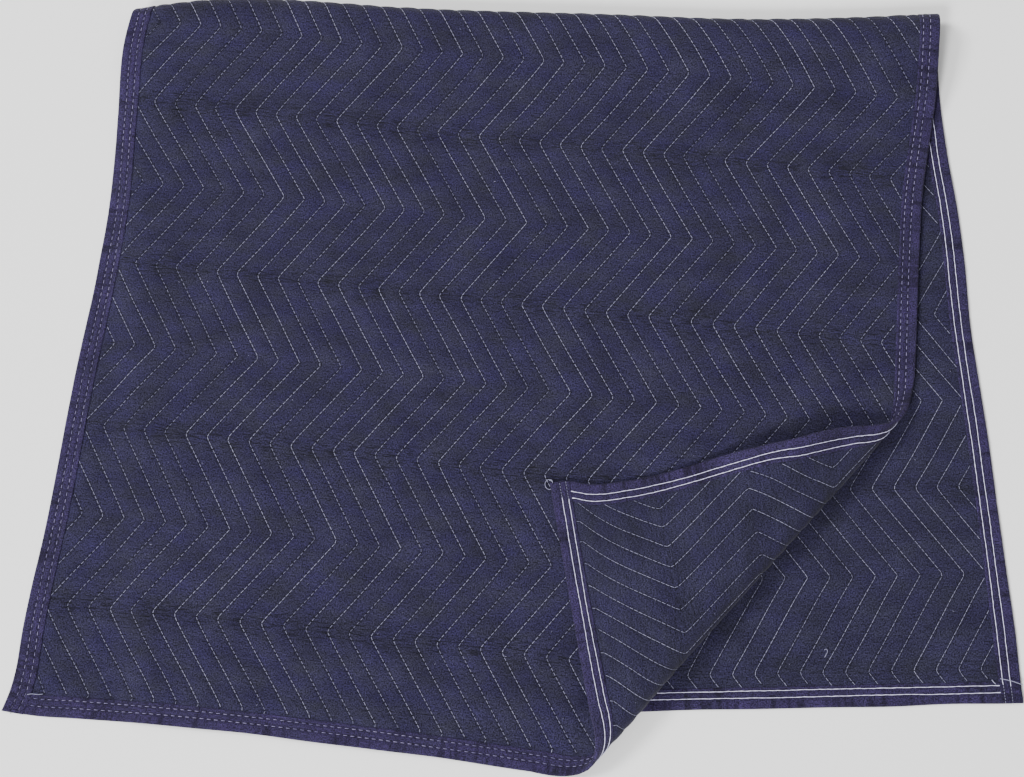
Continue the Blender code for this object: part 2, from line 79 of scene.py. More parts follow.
# Fold in half, over a line that slants across the sheet
FOLD_LEFT, FOLD_RIGHT = 0.8857, 0.9766      # v of the line at the two sides
FOLD_HEADING = radians(-1.25)               # of the line on the floor
FOLD_START = (-0.47118, 0.45215)            # its left end on the floor
FOLD_RADIUS = 0.0188
FOLD_SLACK = 0.013        # extra cloth in the lower half of the fold
FOLD_SETTLE = 0.130       # the upper layer comes down over this length
LOW_Z, HIGH_Z = 0.0023, 0.0096              # the middle of the lower and the upper layer
DROP = 0.055              # over which the upper layer slopes down past the lower one

# Corner turned back over a second line
CREASE_START, CREASE_STOP = 0.595, 0.510    # u at the front end, v at the right edge
LOOP_FRONT, LOOP_SIDE = 0.0345, 0.0210      # radius of the loop where it starts and ends
OUT_FRONT, OUT_SIDE = 1.25, 0.80            # its reach outwards, for each unit of radius
LOOP_RISE = 0.6                             # and its height
FLAP_REST, FLAP_SETTLE = 0.0070, 0.120      # the flap's rise, and from where it is reached
FLAP_PUFF, PUFF_EDGE = 0.010, 0.090         # rise of its middle, and the edge without it
CURL_SIDE, CURL_FRONT = 0.005, 0.010        # how far its two edges bow inwards
FLAP_EASE = 0.100                           # over which the curl and the puff come up
ARCH_RISE, ARCH_AT, ARCH_SPAN = 0.026, 0.326, 0.100     # of the flap's side edge
ARCH_REACH, ARCH_EASE = 0.200, 0.050

# How far the edges stray: place along the edge, and distance to the right or, for the
# front end and the fold, to the back
LEFT_STRAY = ((0.000, -0.0185), (0.022, -0.0125), (0.045, -0.0100), (0.100, -0.0100),
              (0.240, -0.0035), (0.415, 0.0010), (0.535, 0.0070), (0.615, 0.0085),
              (0.740, 0.0000), (0.810, -0.0015), (0.885, 0.0040), (1.000, -0.0040))
RIGHT_STRAY = ((0.000, 0.0110), (0.445, 0.0115), (0.555, 0.0080), (0.640, 0.0050),
               (0.730, 0.0030), (0.860, 0.0095), (0.930, 0.0055), (1.010, 0.0015),
               (1.080, -0.0025), (1.175, -0.0030), (1.255, 0.0010), (1.385, -0.0010),
               (1.530, 0.0025), (1.680, 0.0040), (1.830, 0.0040))
FOLD_STRAY = ((0.000, -0.0150), (0.060, -0.0040), (0.120, 0.0025), (0.215, 0.0015),
              (0.325, -0.0045), (0.590, -0.0085), (0.770, -0.0110), (0.890, -0.0060),
              (1.000, 0.0020))
FRONT_STRAY = ((0.000, -0.0030), (0.030, -0.0045), (0.080, -0.0020), (0.180, 0.0020),
               (0.400, 0.0025), (0.530, 0.0000), (0.620, -0.0030), (0.670, -0.0040),
               (0.710, -0.0060), (0.745, -0.0035), (0.800, 0.0000))
FLAP_STRAY = ((0.000, 0.0040), (0.020, 0.0030), (0.050, -0.0048), (0.105, -0.0077),
              (0.165, -0.0044), (0.215, 0.0002), (0.265, 0.0033), (0.300, 0.0030),
              (0.335, 0.0062), (0.370, 0.0078), (0.400, 0.0048), (0.430, 0.0000))
LEFT_STRAY_REACH, RIGHT_STRAY_REACH = 0.6 * WIDTH, 0.5 * WIDTH     # how far in it is felt
FOLD_STRAY_REACH, FRONT_STRAY_REACH, FLAP_STRAY_REACH = 0.050, 0.250, 0.200

# How far the rows of turns stray to the back, by their v, and the stitch lines across
ROW_STRAY = ((0.000, 0.0000), (0.131, -0.0030), (0.235, -0.0005), (0.338, 0.0024),
             (0.442, 0.0002), (0.546, -0.0022), (0.649, -0.0030), (0.753, -0.0030),
             (0.850, -0.0030), (0.960, 0.0000), (1.830, 0.0000))
ROW_STOP, ROW_EASE = 0.750, 0.350           # the rows are straight past this u
TOP_DROP, TOP_REACH = 0.0075, 0.500         # the last row before the fold is to the front
TOP_START, TOP_STOP, TOP_EASE = 0.760, 0.960, 0.090
BACK_SKEW, BACK_SKEW_U = 0.05, 0.740        # the lower layer's rows slant about this u
SKEW_START, SKEW_EASE = 1.09, 0.50
BACK_LAG = 0.007                            # and are nearer the fold
LAG_START, LAG_STOP, LAG_EASE = 1.04, 1.80, 0.11
BACK_SPREAD = 0.034                         # its lines are further apart at the back end
SPREAD_START, SPREAD_EASE = 1.420, 0.300

# Soft ridges across the upper layer: v, middle u, half length, rise, half width
RIDGES = ((0.753, 0.210, 0.230, 0.0022, 0.040),
          (0.753, 0.840, 0.190, 0.0026, 0.045),
          (0.546, 0.560, 0.300, 0.0016, 0.045),
          (0.338, 0.300, 0.260, 0.0022, 0.045),
          (0.235, 0.150, 0.160, 0.0014, 0.040))

# Small creases in the cloth: v, middle u, half length, rise, half width, slope (v per u)
CREASES = ((0.762, 0.160, 0.090, -0.0011, 0.0045, -0.02),
           (0.745, 0.235, 0.070, -0.0009, 0.0040, 0.03),
           (0.757, 0.075, 0.040, -0.0009, 0.0050, 0.05),
           (0.768, 0.880, 0.080, -0.0013, 0.0050, -0.03),
           (0.742, 0.800, 0.060, -0.0011, 0.0045, 0.05),
           (0.755, 0.935, 0.045, -0.0012, 0.0050, -0.10),
           (0.650, 0.560, 0.090, -0.0008, 0.0050, 0.02),
           (0.655, 0.180, 0.070, -0.0007, 0.0045, -0.02),
           (0.552, 0.430, 0.080, -0.0009, 0.0050, 0.02),
           (0.540, 0.610, 0.090, -0.0010, 0.0050, -0.03),
           (0.548, 0.780, 0.080, -0.0009, 0.0045, 0.02),
           (0.446, 0.350, 0.100, -0.0008, 0.0050, 0.03),
           (0.436, 0.640, 0.080, -0.0008, 0.0050, -0.02),
           (0.345, 0.140, 0.070, -0.0012, 0.0050, 0.04),
           (0.331, 0.250, 0.090, -0.0012, 0.0050, -0.02),
           (0.342, 0.420, 0.080, -0.0010, 0.0045, 0.02),
           (0.238, 0.120, 0.060, -0.0009, 0.0045, 0.05),
           (0.229, 0.300, 0.090, -0.0008, 0.0050, -0.02),
           (0.129, 0.220, 0.100, -0.0008, 0.0050, 0.02),
           (1.372, 0.780, 0.090, -0.0009, 0.0050, 0.02),
           (1.480, 0.840, 0.070, -0.0009, 0.0050, -0.03),
           (1.583, 0.700, 0.090, -0.0009, 0.0050, 0.02),
           (1.690, 0.820, 0.080, -0.0009, 0.0050, -0.02))

# Bindings: the axis each runs along (0 for u and 1 for v), its edge, the way inwards, where
# it starts over the next one and stops under another, and its first seam's depth
EDGES = {"binding_left": (1, 0.0, 1.0, 0.0, LENGTH - LAP, 0.0102),
         "binding_right": (1, WIDTH, -1.0, LENGTH, LAP, 0.0122),
         "binding_front_end": (0, 0.0, 1.0, WIDTH, LAP, 0.0116),
         "binding_back_end": (0, LENGTH, -1.0, 0.0, WIDTH - LAP, 0.0125)}

# Violet and slate dye of each cloth, and darkest and lightest shade of each thread
FACE_DYES = (0.0169, 0.0138, 0.0435), (0.0186, 0.0177, 0.0343)
REVERSE_DYES = (0.0170, 0.0145, 0.0410), (0.0178, 0.0172, 0.0345)
BINDING_DYES = (0.0266, 0.0177, 0.0610), (0.0204, 0.0160, 0.0445)
PALE_SHADES = (0.08, 0.08, 0.14), (0.31, 0.31, 0.44)
SEAM_SHADES = (0.10, 0.09, 0.20), (0.30, 0.27, 0.45)
LOOPER_SHADES = (0.50, 0.48, 0.74), (0.76, 0.74, 1.00)

# Worked out
SLANT = atan2(FOLD_RIGHT - FOLD_LEFT, WIDTH)
QUARTER = pi * FOLD_RADIUS / 2
CREASE_RUN = hypot(WIDTH - CREASE_START, CREASE_STOP)
CREASE_U = (WIDTH - CREASE_START) / CREASE_RUN
CREASE_V = CREASE_STOP / CREASE_RUN
STITCH_RUN = hypot(1.0, WAVE_SWING / HALF_WAVE)     # length of a zigzag line per metre of v


# ---------------------------------------------------------------- laying the sheet out

def smooth(x):
    """0 to 1 as x goes from 0 to 1, level at both ends: 3x^2 - 2x^3."""
    x = np.clip(x, 0.0, 1.0)
    return x * x * (3.0 - 2.0 * x)


def curve(x, table):
    """A smooth curve through the table's (place, value) rows: cubic pieces whose slopes at
    each row are those of the chord between its neighbours."""
    knots, values = np.array(table).T
    slopes = np.gradient(values, knots)
    i = np.clip(np.searchsorted(knots, x) - 1, 0, len(knots) - 2)
    gap = knots[i + 1] - knots[i]
    s = np.clip((x - knots[i]) / gap, 0.0, 1.0)
    bend = gap * s * (1.0 - s) * ((1.0 - s) * slopes[i] - s * slopes[i + 1])
    return values[i] + (values[i + 1] - values[i]) * smooth(s) + bend


def cloud(x, y, seed):
    """Smooth random heights from -1 to 1: seeded values one apart, blended between."""
    grid = np.random.default_rng(seed).uniform(-1.0, 1.0, (257, 257))
    x, y = np.broadcast_arrays(x % 256.0, y % 256.0)
    i, j = np.floor(x).astype(int), np.floor(y).astype(int)
    s, t = smooth(x - i), smooth(y - j)
    low = grid[i, j] + (grid[i + 1, j] - grid[i, j]) * s
    high = grid[i, j + 1] + (grid[i + 1, j + 1] - grid[i, j + 1]) * s
    return low + (high - low) * t


def stray(u, v):
    """Sheet coordinates with everything added that isn't straight: the wavy edges, the
    rows of turns, and the lower layer's skew, lag and spread."""
    left = smooth(1.0 - u / LEFT_STRAY_REACH)
    right = smooth((u - WIDTH) / RIGHT_STRAY_REACH + 1.0)
    across = curve(v, LEFT_STRAY) * left + curve(v, RIGHT_STRAY) * right
    lag = smooth((v - LAG_START) / LAG_EASE) * smooth((LAG_STOP - v) / LAG_EASE)
    skew = BACK_SKEW * (u - BACK_SKEW_U) * smooth((v - SKEW_START) / SKEW_EASE)
    along = skew - BACK_LAG * lag
    along = along + curve(u, FRONT_STRAY) * smooth(1.0 - v / FRONT_STRAY_REACH)
    along = along + curve(v, ROW_STRAY) * smooth((ROW_STOP - u) / ROW_EASE)
    top = smooth((v - TOP_START) / TOP_EASE) * smooth((TOP_STOP - v) / TOP_EASE)
    along = along - TOP_DROP * top * smooth((ROW_STOP - u) / TOP_REACH)
    spread = BACK_SPREAD * (u - WIDTH) * smooth(2.0 * u / WIDTH)
    across = across + spread * smooth((v - SPREAD_START) / SPREAD_EASE)
    return u + across, v + along


def ridges(u, v):
    """Rise of the soft ridges: a bell across each one and along it."""
    rise = 0.0
    for at_v, at_u, half_length, height, half_width in RIDGES:
        reach = ((u - at_u) / half_length) ** 2 + ((v - at_v) / half_width) ** 2
        rise = rise + height * np.exp(-reach)
    return rise


def creases(u, v):
    """Depth of the small creases: each a narrow bell across a line that wavers."""
    depth = 0.0
    waver = 0.004 * cloud(u / 0.03, v / 0.2, 3)
    for at_v, at_u, half_length, rise, half_width, slope in CREASES:
        off = v - at_v - slope * (u - at_u) - waver
        depth = depth + rise * np.exp(-(((u - at_u) / half_length) ** 2)
                                      - (off / half_width) ** 2)
    return depth


def fold_in_half(u, v):
    """Place of a sheet point once the sheet is folded, its corner still flat.

    s runs along the fold line and t across it. Up to a quarter turn either side of the
    line the sheet follows a half circle, and past that it lies flat. The upper layer
    stands on the lower one, and slopes to the floor where it reaches past it.
    """
    rise = ridges(u, v)
    u, v = stray(u, v)
    s = u * cos(SLANT) + (v - FOLD_LEFT) * sin(SLANT)
    t = (v - FOLD_LEFT) * cos(SLANT) - u * sin(SLANT)
    slack = QUARTER / (QUARTER + FOLD_SLACK)
    t = np.where(t > 0, np.maximum(t - FOLD_SLACK, np.minimum(t * slack, QUARTER)), t)
    in_fold = np.abs(t) < QUARTER
    turn = np.clip(t / FOLD_RADIUS, -pi / 2, pi / 2)
    y = np.where(in_fold, FOLD_RADIUS * np.cos(turn), QUARTER - np.abs(t))
    reach = QUARTER + FOLD_SLACK - y
    under_u = s * cos(SLANT) - reach * sin(SLANT)
    under_v = FOLD_LEFT + s * sin(SLANT) + reach * cos(SLANT)
    slope = DROP - 0.005
    over_side = smooth((under_u + DROP) / slope)
    over_end = smooth((LENGTH - under_v + DROP) / slope)
    flat = LOW_Z + (HIGH_Z - LOW_Z) * over_side * over_end + rise
    crest = LOW_Z + 2 * FOLD_RADIUS
    upper = crest - (crest - flat) * smooth((-t - QUARTER) / FOLD_SETTLE)
    layers = np.where(t < 0, upper, LOW_Z)
    z = np.where(in_fold, LOW_Z + FOLD_RADIUS * (1.0 - np.sin(turn)), layers)
    y = y + curve(s, FOLD_STRAY) * np.exp(-((t / FOLD_STRAY_REACH) ** 2))
    x = FOLD_START[0] + s * cos(FOLD_HEADING) - y * sin(FOLD_HEADING)
    y = FOLD_START[1] + s * sin(FOLD_HEADING) + y * cos(FOLD_HEADING)
    return np.stack([x, y, z], -1)


def across_crease(u, v):
    """Distance along the crease from the front end, and past it towards the corner."""
    along = (u - CREASE_START) * CREASE_U + v * CREASE_V
    past = (u - CREASE_START) * CREASE_V - v * CREASE_U
    return along, past


def turn_back(u, v):
    """Sheet coordinates under each point once the corner is turned back, and its rise.

    Past the crease the sheet follows half an oval loop that narrows towards the side
    edge, and comes back over the upper layer. The flap's middle is a little puffed, its
    edges curl in and its side edge arches.
    """
    flap = smooth(across_crease(u, v)[1] / FLAP_EASE)
    side = smooth((u - WIDTH) / PUFF_EDGE + 1.0)
    front = smooth(1.0 - v / PUFF_EDGE)
    bow = curve(v, FLAP_STRAY) * smooth((u - WIDTH) / FLAP_STRAY_REACH + 1.0)
    along, past = across_crease(u + flap * (bow - CURL_SIDE * side),
                                v + flap * CURL_FRONT * front)
    share = np.clip(along / CREASE_RUN, -0.1, 1.1)
    loop = LOOP_FRONT + (LOOP_SIDE - LOOP_FRONT) * share
    bulge = loop * (OUT_FRONT + (OUT_SIDE - OUT_FRONT) * share)
    high = loop * LOOP_RISE
    turn = np.clip(past / loop, 0.0, pi)
    back = past - pi * loop
    lean = np.where(past < 0, past, np.where(back < 0, bulge * np.sin(turn), -back))
    puff = FLAP_PUFF * smooth(back / FLAP_EASE) * (1.0 - side) * (1.0 - front)
    arch = ARCH_RISE * np.exp(-(((v - ARCH_AT) / ARCH_SPAN) ** 2))
    arch = arch * smooth(1.0 - (WIDTH - u) / ARCH_REACH) * smooth(back / ARCH_EASE)
    settled = 2 * high - (2 * high - FLAP_REST) * smooth(back / FLAP_SETTLE)
    looped = np.where(back < 0, high * (1.0 - np.cos(turn)), settled + puff + arch)
    rise = np.where(past < 0, 0.0, looped)
    under_u = CREASE_START + along * CREASE_U + lean * CREASE_V
    return under_u, along * CREASE_V - lean * CREASE_U, rise


def surface(u, v):
    """Place of the middle of the sheet."""
    under_u, under_v, rise = turn_back(u, v)
    place = fold_in_half(under_u, under_v)
    place[..., 2] += rise
    return place


def lay_out(flat):
    """Places of flat points (u, v, w): the sheet's middle, and w along its normal."""
    u, v, w = np.moveaxis(np.asarray(flat, float), -1, 0)
    step = 1e-4
    across = surface(u + step, v) - surface(u - step, v)
    along = surface(u, v + step) - surface(u, v - step)
    normal = np.cross(across, along)
    normal /= np.linalg.norm(normal, axis=-1, keepdims=True)
    place = surface(u, v) + w[..., None] * normal
    place[..., 2] = np.maximum(place[..., 2], 0.0)
    return place


# ---------------------------------------------------------------- quilting

def zigzag(v):
    """Sideways place of the stitch lines at v: a triangle wave whose turns are eased into
    hyperbolas, the left ones more than the right ones."""
    wave = np.abs(((v - FIRST_TURN) / HALF_WAVE) % 2.0 - 1.0)
    left_ease, right_ease = 0.018, 0.008
    eased = 1.0 - np.hypot(1.0 - wave, left_ease) + left_ease
    eased = np.hypot(eased, right_ease) - right_ease
    return -WAVE_SWING * eased


def line_u(line, v):
    """u of a stitch line, or of a place between two lines, at v. Lines waver a little."""
    waver = 0.0007 * cloud(line * 0.9, v / 0.05, 11) + 0.0010 * cloud(line / 5, v / 0.3, 12)
    return FIRST_LINE + line * PITCH + zigzag(v) + waver


def tightness(line, v, side):
    """How tight a line of stitches is at v, from -1 to 1: each line has its own, and it
    changes at the turns and wanders between them."""
    turns = np.floor((v - FIRST_TURN) / HALF_WAVE)
    own = cloud(line * 7.0, 0.0 * v + 5.0, 61 + side)
    leg = cloud(line * 5.0, turns * 3.0, 64 + side)
    wander = cloud(line * 3.3, v / 0.05, 67 + side)
    return (0.35 + 0.10 * side) * (0.85 * own + 0.6 * leg + 0.4 * wander)


def inside(u, v):
    """Distance inside the binding, negative under it."""
    side = np.minimum(np.minimum(u, WIDTH - u), np.minimum(v, LENGTH - v))
    return side - BINDING_LEG


def stitch_offset(line, side):
    """Where a line's stitches start, as a share of a stitch."""
    return cloud(line * 2.3, 0.0 * line + 9.1, 81 + side)


def half_thickness(line, u, v):
    """Half the quilt's thickness: a root of a sine between two stitch lines, so that it
    is steep beside them and full between, with small puckers, drawn thin at the edges."""
    crown = np.abs(np.sin(pi * line)) ** 0.6
    lumps = 0.14 * cloud(u / 0.018, v / 0.012, 21) + 0.10 * cloud(u / 0.007, v / 0.004, 22)
    puff = STITCH_HALF + (PUFF_HALF - STITCH_HALF) * crown * (0.92 + lumps)
    return EDGE_HALF + (puff - EDGE_HALF) * smooth(inside(u, v) / 0.012 + 0.25)


def cloth_rows():
    """v of the rows of the quilt's grid: even steps from turn to turn, closest over the
    fold and close over the turned corner, and two rows under the binding at each end."""
    corner_step, fold_step, open_step = 0.0060, 0.0052, 0.0095
    rows = [EDGE_INSET, BINDING_LEG - EDGE_INSET]
    for index in range(-1, 17):
        start = FIRST_TURN + index * HALF_WAVE
        over_fold = 0.80 < start < 1.05
        step = corner_step if start < 0.50 else fold_step if over_fold else open_step
        count = round(HALF_WAVE / step)
        rows.extend(start + HALF_WAVE * np.arange(count) / count)
    rows = [v for v in rows if v < LENGTH - BINDING_LEG]
    return np.array(rows + [LENGTH - BINDING_LEG + EDGE_INSET, LENGTH - EDGE_INSET])


def make_mesh(name, points, faces, sheet_uv):
    """A smooth mesh object from points, quads or triangles and a (u, v) for each point."""
    faces = np.asarray(faces)
    mesh = bpy.data.meshes.new(name)
    mesh.vertices.add(len(points))
    mesh.vertices.foreach_set("co", np.asarray(points, np.float32).ravel())
    mesh.loops.add(faces.size)
    mesh.loops.foreach_set("vertex_index", faces.astype(np.int32).ravel())
    mesh.polygons.add(len(faces))
    mesh.polygons.foreach_set("loop_start", np.arange(0, faces.size, faces.shape[1]))
    layer = mesh.uv_layers.new(name="sheet")
    layer.data.foreach_set("uv", np.asarray(sheet_uv, np.float32)[faces.ravel()].ravel())
    mesh.update(calc_edges=True)
    mesh.validate()
    mesh.polygons.foreach_set("use_smooth", np.ones(len(mesh.polygons), bool))
    piece = bpy.data.objects.new(name, mesh)
    bpy.context.scene.collection.objects.link(piece)
    return piece


def keep_values(piece, label, values):
    """Keeps one value for each of a piece's points, for its material to read."""
    kept = piece.data.attributes.new(label, "FLOAT", "POINT")
    kept.data.foreach_set("value", values.ravel().astype(np.float32))


def quilt_side(name, side):
    """One side of the quilt, as a grid whose columns follow the stitch lines.

    Points past the sheet's edge are held at the edge, points that then coincide are made
    one, and the triangles that this closes up are left out.
    """
    shares = np.array([0.0, 0.055, 0.15, 0.32, 0.5, 0.68, 0.85, 0.945])
    columns = (LINE_NUMBERS[:, None] + shares).ravel()
    line, v = np.meshgrid(columns, cloth_rows(), indexing="ij")
    u = np.clip(line_u(line, v), EDGE_INSET, WIDTH - EDGE_INSET)
    half = half_thickness(line, u, v)
    w = side * (half + creases(u, v) * smooth(inside(u, v) / 0.01))
    flat = np.stack([u, v, w], -1)
    index = np.arange(u.size).reshape(u.shape)
    quads = np.stack([index[:-1, :-1], index[1:, :-1], index[1:, 1:], index[:-1, 1:]], -1)
    quads = quads.reshape(-1, 4)
    faces = np.concatenate([quads[:, [0, 1, 2]], quads[:, [0, 2, 3]]])
    microns = np.round(flat[..., :2].reshape(-1, 2) / 1e-6).astype(np.int64)
    _, first, merged = np.unique(microns, axis=0, return_index=True, return_inverse=True)
    faces = merged.reshape(-1)[faces]
    whole = ((faces[:, 0] != faces[:, 1]) & (faces[:, 1] != faces[:, 2])
             & (faces[:, 0] != faces[:, 2]))
    flat = flat.reshape(-1, 3)[first]
    faces = faces[whole] if side > 0 else faces[whole][:, ::-1]
    piece = make_mesh(name, lay_out(flat), faces, flat[:, :2])
    # painted shade along each stitch line, kept for the cloth's material
    painted_shade = np.exp(-((PITCH * (line - np.round(line)) / GROOVE_BELL) ** 2))
    painted_shade = painted_shade * smooth(inside(u, v) / 0.002 + 0.5)
    # stitch count, so that the material paints more shade at each needle hole
    count = v * STITCH_RUN / STITCH_STEP + stitch_offset(np.round(line), side)
    keep_values(piece, "painted_shade", painted_shade.ravel()[first])
    keep_values(piece, "stitch_count", count.ravel()[first])
    return piece


# ---------------------------------------------------------------- binding

def seam_hollows(depth, seams):
    """1 on a seam, down to 0 at its sides: a bell across each one."""
    return sum(np.exp(-(((depth - seam) / SEAM_BELL) ** 2)) for seam in seams)


def binding_profile(seams):
    """Cross-section of the binding as (depth from the edge, w): a strip folded round the
    edge, drawn in at its two seams, with a round fold, closed inside the quilt's edge."""
    beside = np.array([0.0019, 0.0009, 0.0, -0.0009, -0.0019])
    depth = np.concatenate([BINDING_LEG * np.array([1.0, 0.985, 0.94]), seams[1] + beside,
                            [(seams[0] + seams[1]) / 2], seams[0] + beside,
                            BINDING_LEG * np.array([0.28, 0.20, 0.13])])
    drawn = seam_hollows(depth, seams)
    height = BINDING_HALF - SEAM_DRAW * drawn
    height[:2] -= 0.0007, 0.0002
    turn = np.linspace(pi / 2, -pi / 2, 11)
    fold = np.stack([BINDING_NOSE - BINDING_NOSE * np.cos(turn),
                     BINDING_HALF * np.sin(turn)], -1)
    top = np.stack([depth, height], -1)
    return np.concatenate([top, fold, (top * (1.0, -1.0))[::-1]])


def binding_strip(name, axis, edge, inward, over_end, under_end, seam):
    """One binding along an edge: its profile carried along the edge.

    It starts in a rounded closed end over_end at a corner, laps over the next binding
    there, and stops at under_end beneath another one. The cloth is a little rumpled
    between its stitches, and it waves in and out where it isn't pulled straight.
    """
    seams = (seam, seam + SEAM_GAP)
    profile = binding_profile(seams)
    heading = 1.0 if under_end > over_end else -1.0
    length = abs(under_end - over_end)
    first, station = np.array([0.0, 0.0003, 0.0009, 0.002, 0.004]), 0.0026
    along = np.concatenate([first, np.linspace(0.0065, length, round(length / station))])
    rounded = np.sqrt(np.clip(1.0 - (1.0 - np.clip(along / 0.002, 0, 1)) ** 2, 0.15, 1.0))
    lap = 0.0006 * (1.0 - smooth((along - 0.027) / 0.01))
    tuck = 0.0008 * smooth((along - length + 0.006) / 0.004)
    from_end, depth = np.meshgrid(along, profile[:, 0], indexing="ij")
    place = over_end + heading * from_end
    seed = 31 + axis + 2 * int(edge > 0)
    wave = 0.0010 * cloud(place / 0.07, 0.0 * place, seed)
    rumple = 0.16 * cloud(place / 0.006, depth / 0.008, seed + 5)
    rumple = rumple + 0.20 * cloud(place / 0.022, depth / 0.012, seed + 9)
    outer = smooth(1.0 - depth / 0.012)
    pucker = smooth(1.5 * cloud(place / 0.0032, depth / 0.030, seed + 13)
                    + 0.6 * cloud(place / 0.030, depth / 0.050, seed + 17) - 0.35)
    rumple = rumple - 0.12 * pucker
    w = profile[:, 1] * rounded[:, None] * (1.0 + rumple * smooth(1.2 - depth / BINDING_LEG))
    w = w + np.sign(w) * (lap - tuck)[:, None]
    across = edge + inward * (depth + wave * outer * smooth(from_end / 0.02))
    pair = (across, place) if axis == 1 else (place, across)
    flat = np.stack([*pair, w], -1)
    count, stations = len(profile), len(along)
    index = np.arange(count * stations).reshape(stations, count)
    after = np.roll(index, -1, axis=1)
    quads = np.stack([index[:-1], after[:-1], after[1:], index[1:]], -1).reshape(-1, 4)
    i = np.arange(count // 2 - 1)
    caps = [np.stack([ring[i], ring[i + 1], ring[count - 2 - i], ring[count - 1 - i]], -1)
            for ring in (index[0][::-1], index[-1])]
    faces = np.concatenate([quads, *caps])
    flip = heading * inward * (1.0 if axis == 1 else -1.0) < 0
    faces = faces[:, ::-1] if flip else faces
    points = flat.reshape(-1, 3)
    piece = make_mesh(name, lay_out(points), faces, points[:, :2])
    # painted shade for the material: dark on each seam and where the binding puckers
    keep_values(piece, "painted_shade", np.maximum(seam_hollows(depth, seams), 1.1 * pucker))
    return piece


# ---------------------------------------------------------------- thread

def stitches(name, starts, ends, side, base, radius, tight):
    """Many short stitches, each a three-sided bead from its start to its end.

    starts and ends are flat (u, v) pairs, and radius and tight have one value a stitch.
    Its two tips sink into the cloth, and between them two rings of three points make a
    thread that stands up from height base. Its UV is its shade, and tight darkens it.
    """
    radius = np.broadcast_to(radius, len(starts))[:, None]
    middle, run = (starts + ends) / 2, ends - starts
    length = np.linalg.norm(run, axis=1, keepdims=True)
    ahead = run / length
    beside = np.stack([-ahead[:, 1], ahead[:, 0]], -1)
    rows = []
    for share, bulge in ((-0.5, 0.0), (-0.38, 1.0), (0.38, 1.0), (0.5, 0.0)):
        centre = middle + ahead * length * share
        if bulge == 0.0:
            rows.append(np.concatenate([centre, np.full((len(middle), 1), base - TIP_SINK)], 1))
            continue
        for aside, up in ((-1.0, -0.4), (0.0, 1.0), (1.0, -0.4)):
            rows.append(np.concatenate([centre + beside * radius * aside,
                                        base + radius * up], 1))
    flat = np.stack(rows, 1)
    flat[..., 2] *= side
    bead = np.array([[0, 2, 1], [0, 3, 2], [0, 1, 3], [7, 4, 5], [7, 5, 6], [7, 6, 4],
                     [1, 2, 5], [1, 5, 4], [2, 3, 6], [2, 6, 5], [3, 1, 4], [3, 4, 6]])
    faces = (np.arange(len(middle))[:, None, None] * 8 + bead).reshape(-1, 3)
    faces = faces if side > 0 else faces[:, ::-1]
    shade = np.random.default_rng(len(middle)).uniform(0.0, 1.0, len(middle))
    uv = np.repeat(np.stack([shade, 0.5 + 0.5 * tight], -1), 8, axis=0)
    return make_mesh(name, lay_out(flat.reshape(-1, 3)), faces, uv)


def quilt_stitches(name, side, length_share, radius):
    """Stitches along every zigzag line. Where a line is tight they are short and thin
    with wide gaps, and where it is slack they are long and nearly meet."""
    random = np.random.default_rng(50 + side)
    step = STITCH_STEP / STITCH_RUN
    line, number = np.meshgrid(LINE_NUMBERS, np.arange(int(LENGTH / step)), indexing="ij")
    start = (number - stitch_offset(line, side) + 0.5) * step
    start = (start + random.uniform(-0.05, 0.05, line.shape) * step).ravel()
    line = line.ravel()
    tight = tightness(line, start, side)
    share = length_share - 0.20 * tight + random.uniform(-0.05, 0.05, len(start))
    first, last = start - share * step / 2, start + share * step / 2
    starts = np.stack([line_u(line, first), first], -1)
    ends = np.stack([line_u(line, last), last], -1)
    shown = (inside(*starts.T) > -0.001) & (inside(*ends.T) > -0.001)
    radius = radius * (1.0 - 0.18 * tight)
    return stitches(name, starts[shown], ends[shown], side, STITCH_HALF + 0.0002,
                    radius[shown], tight[shown])


def edge_line(axis, edge, inward, depth, start, stop, spacing):
    """Flat places along a seam at a steady depth from an edge, wavering a little."""
    count = round(abs(stop - start) / spacing)
    place = np.linspace(start, stop, count)
    depth = depth + 0.0005 * cloud(place / 0.06, place * 0.0 + depth * 900, 71)
    across = edge + inward * depth
    return np.stack((across, place) if axis == 1 else (place, across), -1)


def each_seam():
    """Both seams of every binding: the edge it lies along, its depth, where its binding
    ends over the next one and under another, the way between them, and its number."""
    for axis, edge, inward, over_end, under_end, first in EDGES.values():
        heading = 1.0 if under_end > over_end else -1.0
        for number, depth in enumerate((first, first + SEAM_GAP)):
            yield (axis, edge, inward), depth, over_end, under_end, heading, number


def seam_dashes():
    """Dashes of both seams on the face side: each takes five eighths of its step."""
    starts, ends = [], []
    for along_edge, depth, over_end, under_end, heading, _ in each_seam():
        line = edge_line(*along_edge, depth, over_end + heading * SEAM_CLEAR, under_end,
                         DASH_STEP / 8)
        starts.append(line[:-5:8])
        ends.append(line[5::8])
    starts, ends = np.concatenate(starts), np.concatenate(ends)
    tight = 0.8 * cloud(starts[:, 0] / 0.05, starts[:, 1] / 0.05, 73)
    return stitches("seam_dashes", starts, ends, 1, BINDING_HALF - 0.0003, DASH_RADIUS, tight)


